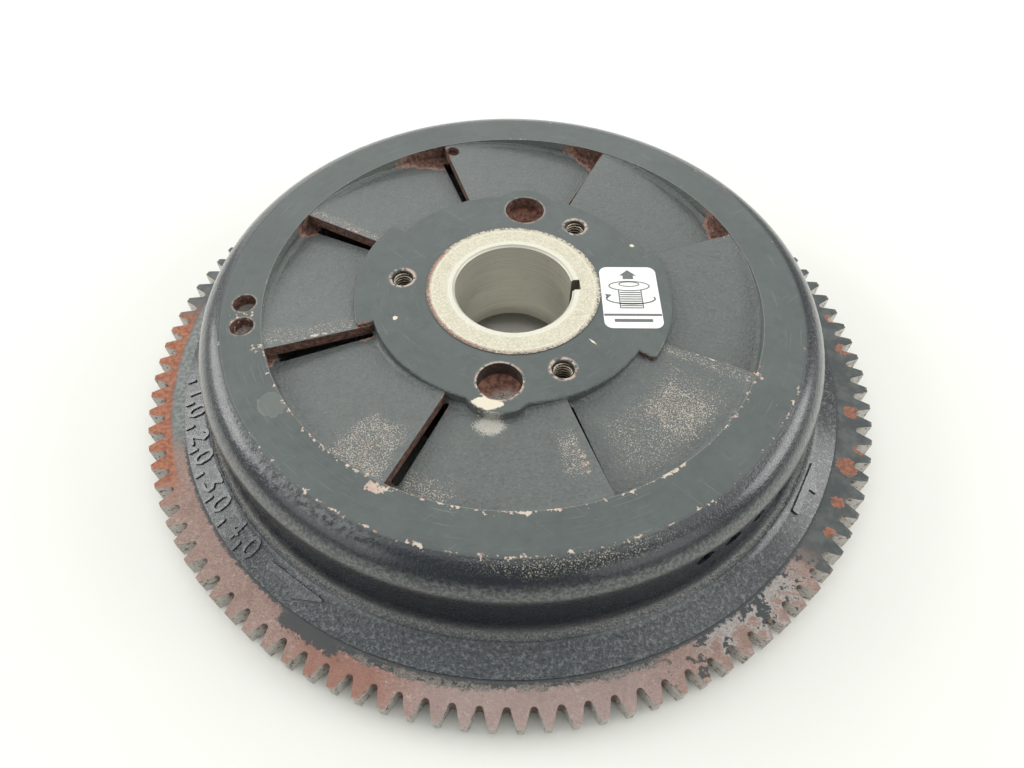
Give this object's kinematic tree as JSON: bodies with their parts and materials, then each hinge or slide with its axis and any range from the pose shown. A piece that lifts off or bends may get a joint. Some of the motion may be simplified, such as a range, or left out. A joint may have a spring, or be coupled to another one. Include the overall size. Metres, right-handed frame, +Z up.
{
  "type": "flywheel",
  "caption": "Black cast magneto flywheel with sloping cooling vanes, keyed steel hub bore, threaded puller holes, bonded magnets inside the bell and a shrunk-on starter ring gear.",
  "frame": {"origin": "centre of the crankshaft bore on the plane that the wheel rests on", "axes": "+Z up along the crankshaft axis to the fan side; three puller holes at 60, 180 and 300 degrees from +X, counter-clockwise from above"},
  "size_m": [0.2742, 0.2744, 0.0453],
  "materials": {
    "black_casting": "worn black paint over cast iron, with chips and rust",
    "hub_steel": "bare machined steel",
    "gear_steel": "rusted steel with worn bright tooth flanks and paint remains",
    "magnet_ferrite": "dull sintered magnet",
    "cage_plastic": "moulded glass-filled plastic",
    "sleeve_steel": "thin bright sheet",
    "label_vinyl": "white printed vinyl"
  },
  "bodies": {
    "root": {"flywheel_casting": "black_casting", "hub_bush": "hub_steel", "magnet_01": "magnet_ferrite", "magnet_02": "magnet_ferrite", "magnet_03": "magnet_ferrite", "magnet_04": "magnet_ferrite", "magnet_05": "magnet_ferrite", "magnet_06": "magnet_ferrite", "magnet_07": "magnet_ferrite", "magnet_08": "magnet_ferrite", "magnet_09": "magnet_ferrite", "magnet_10": "magnet_ferrite", "magnet_11": "magnet_ferrite", "magnet_12": "magnet_ferrite", "magnet_cage": "cage_plastic", "magnet_sleeve": "sleeve_steel", "puller_label": "label_vinyl", "ring_gear": "gear_steel", "trigger_carrier": "cage_plastic", "trigger_magnet_1": "magnet_ferrite", "trigger_magnet_2": "magnet_ferrite"}
  },
  "joints": []
}
